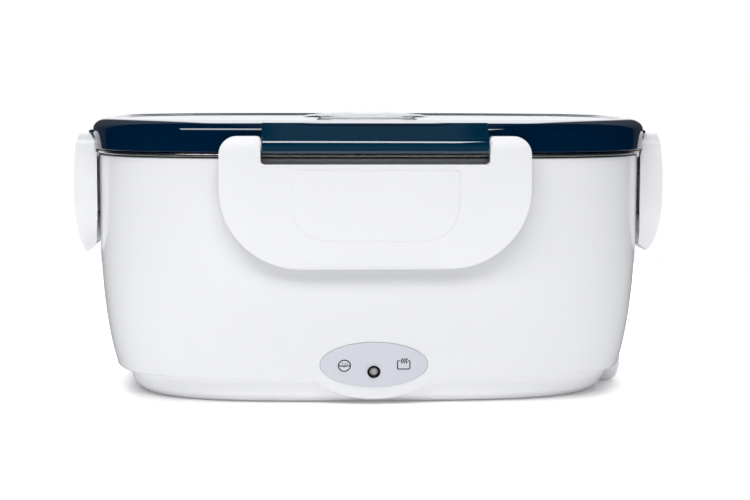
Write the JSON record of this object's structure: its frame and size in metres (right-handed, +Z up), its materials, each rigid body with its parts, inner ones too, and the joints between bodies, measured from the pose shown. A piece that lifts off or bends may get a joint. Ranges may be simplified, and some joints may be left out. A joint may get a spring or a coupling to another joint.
{
  "type": "electric lunch box",
  "caption": "Electric lunch box with a heated case, lift-out steel tray, side box, front indicator lamp, side power inlet and a vented lid held by hinged snap latches.",
  "frame": {"origin": "on the surface the feet stand on, under the middle of the box", "axes": "+Z up, the front panel with the lamp faces -Y, the power inlet is on the +X end"},
  "size_m": [0.2354, 0.1754, 0.112],
  "materials": {
    "case_white": "glossy white moulded plastic",
    "liner_grey": "satin light grey plastic",
    "base_white": "satin white plastic",
    "screw_steel": "zinc plated",
    "foot_rubber": "matt dark grey rubber",
    "plate_aluminium": "satin",
    "heater_film": "amber insulating film over a ceramic heater",
    "clamp_steel": "spring steel",
    "thermostat_black": "matt black",
    "fuse_brass": "dull",
    "wire_red": "satin insulation",
    "wire_blue": "satin insulation",
    "wire_grey": "satin insulation",
    "panel_grey": "satin pale grey label",
    "bezel_black": "gloss black",
    "lamp_grey": "unlit frosted lens",
    "board_green": "solder mask",
    "socket_grey": "satin grey",
    "pin_metal": "nickel plated",
    "tray_steel": "polished rim, satin inside",
    "box_white": "satin white",
    "box_lid_white": "satin, slightly translucent",
    "lid_blue": "glossy dark blue",
    "seal_silicone": "translucent silicone",
    "vent_clear": "clear, glossy",
    "vent_frosted": "translucent, glossy",
    "latch_white": "glossy white moulded plastic"
  },
  "bodies": {
    "case": {"outer_shell": "case_white", "inner_liner": "liner_grey", "base_cover": "base_white", "base_screws": "screw_steel", "rubber_feet": "foot_rubber", "heating_plate": "plate_aluminium", "ptc_heater": "heater_film", "heater_clamp": "clamp_steel", "heater_screws": "screw_steel", "thermostat": "thermostat_black", "thermal_fuse": "fuse_brass", "fuse_clip": "clamp_steel", "live_wire": "wire_red", "neutral_wire": "wire_blue", "fuse_wires": "wire_red", "led_wires": "wire_grey", "control_panel": "panel_grey", "led_bezel": "bezel_black", "led_lamp": "lamp_grey", "led_board": "board_green", "inlet_socket": "socket_grey", "inlet_pins": "pin_metal"},
    "tray": {"food_tray": "tray_steel"},
    "box": {"side_box": "box_white"},
    "box_cover": {"side_box_lid": "box_lid_white"},
    "lid": {"lid": "lid_blue", "lid_seal": "seal_silicone", "vent_seat": "vent_clear", "vent_washer": "seal_silicone"},
    "vent": {"vent_cap": "vent_frosted"},
    "latch_front": {"front_latch": "latch_white"},
    "latch_rear": {"rear_latch": "latch_white"},
    "latch_left": {"left_latch": "latch_white"},
    "latch_right": {"right_latch": "latch_white"}
  },
  "joints": [
    {"name": "tray_lift", "type": "slide", "parent": "case", "child": "tray", "axis": [0, 0, 1], "range_m": [0, 0.08]},
    {"name": "box_lift", "type": "slide", "parent": "tray", "child": "box", "axis": [0, 0, 1], "range_m": [0, 0.07]},
    {"name": "box_cover_lift", "type": "slide", "parent": "box", "child": "box_cover", "axis": [0, 0, 1], "range_m": [0, 0.03]},
    {"name": "lid_lift", "type": "slide", "parent": "box_cover", "child": "lid", "axis": [0, 0, 1], "range_m": [0, 0.06]},
    {"name": "vent_pull", "type": "slide", "parent": "lid", "child": "vent", "axis": [0, 0, 1], "range_m": [0, 0.003]},
    {"name": "front_latch_hinge", "type": "hinge", "parent": "lid", "child": "latch_front", "pos_m": [0, -0.0837, 0.0996], "axis": [-1, 0, 0], "range_deg": [0, 105]},
    {"name": "rear_latch_hinge", "type": "hinge", "parent": "lid", "child": "latch_rear", "pos_m": [0, 0.0837, 0.0996], "axis": [1, 0, 0], "range_deg": [0, 105]},
    {"name": "left_latch_hinge", "type": "hinge", "parent": "lid", "child": "latch_left", "pos_m": [-0.1137, 0, 0.0996], "axis": [0, 1, 0], "range_deg": [0, 105]},
    {"name": "right_latch_hinge", "type": "hinge", "parent": "lid", "child": "latch_right", "pos_m": [0.1137, 0, 0.0996], "axis": [0, -1, 0], "range_deg": [0, 105]}
  ]
}
